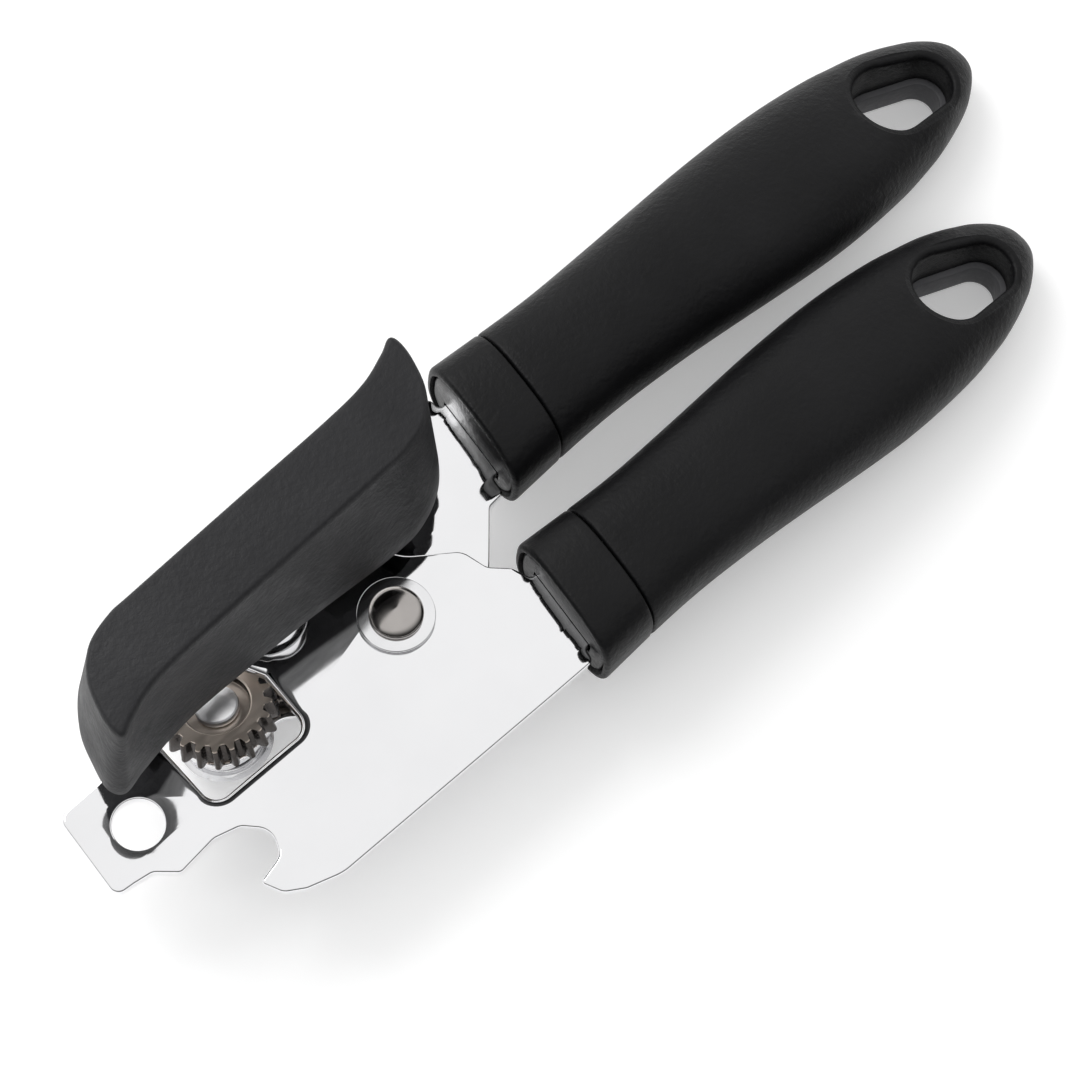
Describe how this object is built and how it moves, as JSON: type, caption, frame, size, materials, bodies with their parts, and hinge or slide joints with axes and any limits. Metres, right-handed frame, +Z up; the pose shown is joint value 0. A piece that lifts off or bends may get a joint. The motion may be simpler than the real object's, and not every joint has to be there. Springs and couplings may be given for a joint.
{
  "type": "manual can opener",
  "caption": "Hand-held can opener with polished plates, geared cutting wheel, bottle opener hook, large turn knob and two soft black handles with hang holes.",
  "frame": {"origin": "bottom centre of the bounding box, on the table the closed opener lies on", "axes": "+X along the handles towards their tails, +Y from the lower handle to the upper one, +Z up through the turn knob"},
  "size_m": [0.2156, 0.0618, 0.0535],
  "materials": {
    "polished_plate": "mirror polished",
    "rivet_steel": "polished",
    "bright_steel": "polished",
    "knob_plastic": "fine matte grain",
    "warm_gear_steel": "satin, warm tint",
    "blade_steel": "satin",
    "grip_black": "soft sheen",
    "ferrule_black": "soft sheen",
    "plug_dark": "semi gloss",
    "liner_charcoal": "satin"
  },
  "bodies": {
    "frame": {"front_plate": "polished_plate", "pivot_rivet": "rivet_steel", "pivot_top_washer": "bright_steel", "pivot_back_washer": "bright_steel", "drive_bush": "bright_steel", "lower_grip": "grip_black", "lower_ferrule": "ferrule_black", "lower_mouth_plug": "plug_dark", "lower_hole_liner": "liner_charcoal"},
    "upper_arm": {"back_plate": "polished_plate", "cutter_pin": "bright_steel", "cutter_bushing": "bright_steel", "upper_grip": "grip_black", "upper_ferrule": "ferrule_black", "upper_mouth_plug": "plug_dark", "upper_hole_liner": "liner_charcoal"},
    "drive": {"turn_knob": "knob_plastic", "knob_insert": "bright_steel", "drive_shaft": "bright_steel", "drive_gear": "warm_gear_steel", "drive_spacer": "bright_steel", "feed_wheel": "blade_steel", "drive_washer": "bright_steel", "drive_nut": "bright_steel"},
    "cutter": {"cutter_gear": "warm_gear_steel", "cutting_wheel": "blade_steel"}
  },
  "joints": [
    {"name": "handles_open", "type": "hinge", "parent": "frame", "child": "upper_arm", "pos_m": [-0.04422, 0.0006, 0.0166], "axis": [0, 0, 1], "range_deg": [0, 25]},
    {"name": "knob_turn", "type": "hinge", "parent": "frame", "child": "drive", "pos_m": [-0.05972, 0.015, 0.02], "axis": [0, 0, 1], "continuous": true},
    {"name": "cutter_turn", "type": "hinge", "parent": "upper_arm", "child": "cutter", "pos_m": [-0.07472, 0.0099, 0.0154], "axis": [0.042, 0.2382, 0.9703], "continuous": true}
  ],
  "couplings": [
    {"joint": "cutter_turn", "follows": "knob_turn", "ratio": -0.8}
  ]
}
